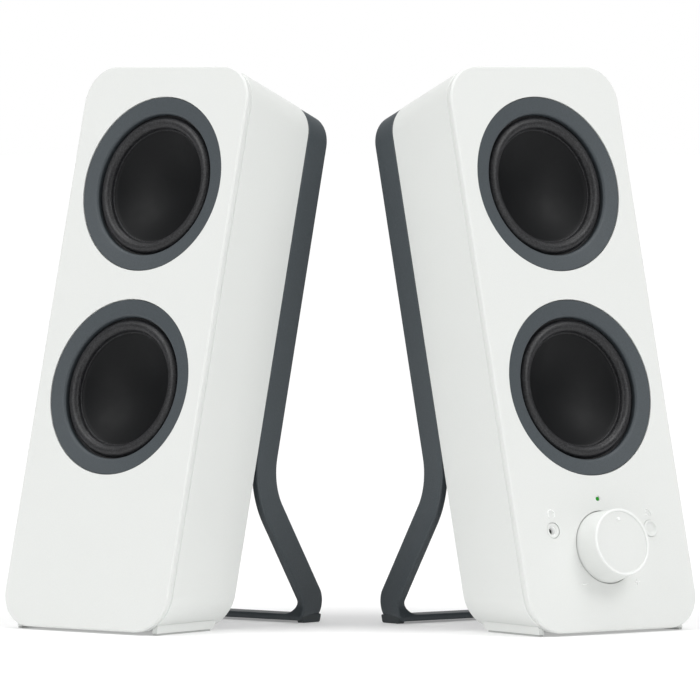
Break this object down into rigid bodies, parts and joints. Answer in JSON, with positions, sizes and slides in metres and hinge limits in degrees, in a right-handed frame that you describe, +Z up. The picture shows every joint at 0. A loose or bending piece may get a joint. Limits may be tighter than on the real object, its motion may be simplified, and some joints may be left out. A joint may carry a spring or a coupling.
{
  "type": "desktop speakers",
  "caption": "Desktop computer speakers: tall narrow cabinets leaning back on loop stands, each with a driver above a passive radiator, and volume, pairing and headphone controls on the right.",
  "frame": {"origin": "on the desk, at the centre of the pair's bounding box seen from above", "axes": "+Z up; -Y towards the listener; +X to the listener's right, from the left speaker to the right one"},
  "size_m": [0.2956, 0.1492, 0.2407],
  "materials": {
    "white_plastic": "fine satin moulded plastic",
    "slate_plastic": "fine satin moulded plastic",
    "foot_rubber": "matt moulded rubber",
    "pale_rubber": "matt moulded rubber",
    "surround_rubber": "soft satin rubber",
    "cone_black": "matt pressed diaphragm",
    "black_plastic": "matt moulded plastic",
    "spider_cloth": "resin-dipped cloth",
    "copper": "enamelled wire",
    "plated_steel": "zinc plated",
    "ferrite": "ground ferrite",
    "screw_steel": "black zinc",
    "green_lens": "clear tinted lens",
    "circuit_board": "solder-masked board"
  },
  "bodies": {
    "right_speaker": {"right_amplifier_board": "circuit_board", "right_aux_socket": "black_plastic", "right_board_screws": "screw_steel", "right_button_switch": "black_plastic", "right_cabinet_shell": "white_plastic", "right_case_screws": "screw_steel", "right_control_board": "circuit_board", "right_driver_basket": "black_plastic", "right_driver_magnet": "ferrite", "right_driver_screws": "screw_steel", "right_driver_spider": "spider_cloth", "right_driver_surround": "surround_rubber", "right_driver_top_plate": "plated_steel", "right_driver_yoke": "plated_steel", "right_front_panel": "white_plastic", "right_front_rubbers": "pale_rubber", "right_front_shoes": "white_plastic", "right_headphone_socket": "white_plastic", "right_light_pipe": "green_lens", "right_lower_trim_ring": "slate_plastic", "right_potentiometer": "plated_steel", "right_power_socket": "black_plastic", "right_radiator_frame": "black_plastic", "right_radiator_surround": "surround_rubber", "right_rear_cover": "slate_plastic", "right_rear_rubbers": "foot_rubber", "right_satellite_socket": "black_plastic", "right_stand": "slate_plastic", "right_upper_trim_ring": "slate_plastic"},
    "left_speaker": {"left_cabinet_shell": "white_plastic", "left_cable_gland": "foot_rubber", "left_case_screws": "screw_steel", "left_driver_basket": "black_plastic", "left_driver_magnet": "ferrite", "left_driver_screws": "screw_steel", "left_driver_spider": "spider_cloth", "left_driver_surround": "surround_rubber", "left_driver_top_plate": "plated_steel", "left_driver_yoke": "plated_steel", "left_front_panel": "white_plastic", "left_front_rubbers": "pale_rubber", "left_front_shoes": "white_plastic", "left_lower_trim_ring": "slate_plastic", "left_radiator_frame": "black_plastic", "left_radiator_surround": "surround_rubber", "left_rear_cover": "slate_plastic", "left_rear_rubbers": "foot_rubber", "left_stand": "slate_plastic", "left_upper_trim_ring": "slate_plastic"},
    "volume_knob": {"right_volume_knob": "white_plastic", "right_knob_shaft": "plated_steel"},
    "pairing_button": {"right_pairing_button": "white_plastic"},
    "right_driver_diaphragm": {"right_driver_cone": "cone_black", "right_driver_voice_coil": "copper"},
    "right_radiator_diaphragm": {"right_radiator_cone": "cone_black", "right_radiator_weight": "plated_steel"},
    "left_driver_diaphragm": {"left_driver_cone": "cone_black", "left_driver_voice_coil": "copper"},
    "left_radiator_diaphragm": {"left_radiator_cone": "cone_black", "left_radiator_weight": "plated_steel"}
  },
  "joints": [
    {"name": "left_speaker_spacing", "type": "slide", "parent": "right_speaker", "child": "left_speaker", "axis": [-1, 0, 0], "range_m": [0, 0.3]},
    {"name": "volume_turn", "type": "hinge", "parent": "right_speaker", "child": "volume_knob", "pos_m": [0.10863, -0.04254, 0.03638], "axis": [0.5948, -0.7669, 0.2411], "range_deg": [-150, 150]},
    {"name": "pairing_press", "type": "slide", "parent": "right_speaker", "child": "pairing_button", "axis": [-0.5948, 0.7669, -0.2411], "range_m": [0, 0.0005], "stiffness_N_per_m": 1500},
    {"name": "right_driver_stroke", "type": "slide", "parent": "right_speaker", "child": "right_driver_diaphragm", "axis": [0.5948, -0.7669, 0.2411], "range_m": [-0.002, 0.002], "stiffness_N_per_m": 1200, "deforming": ["right_driver_surround", "right_driver_spider"]},
    {"name": "right_radiator_stroke", "type": "slide", "parent": "right_speaker", "child": "right_radiator_diaphragm", "axis": [0.5948, -0.7669, 0.2411], "range_m": [-0.002, 0.002], "stiffness_N_per_m": 1500, "deforming": ["right_radiator_surround"]},
    {"name": "left_driver_stroke", "type": "slide", "parent": "left_speaker", "child": "left_driver_diaphragm", "axis": [-0.6173, -0.7489, 0.2411], "range_m": [-0.002, 0.002], "stiffness_N_per_m": 1200, "deforming": ["left_driver_surround", "left_driver_spider"]},
    {"name": "left_radiator_stroke", "type": "slide", "parent": "left_speaker", "child": "left_radiator_diaphragm", "axis": [-0.6173, -0.7489, 0.2411], "range_m": [-0.002, 0.002], "stiffness_N_per_m": 1500, "deforming": ["left_radiator_surround"]}
  ]
}
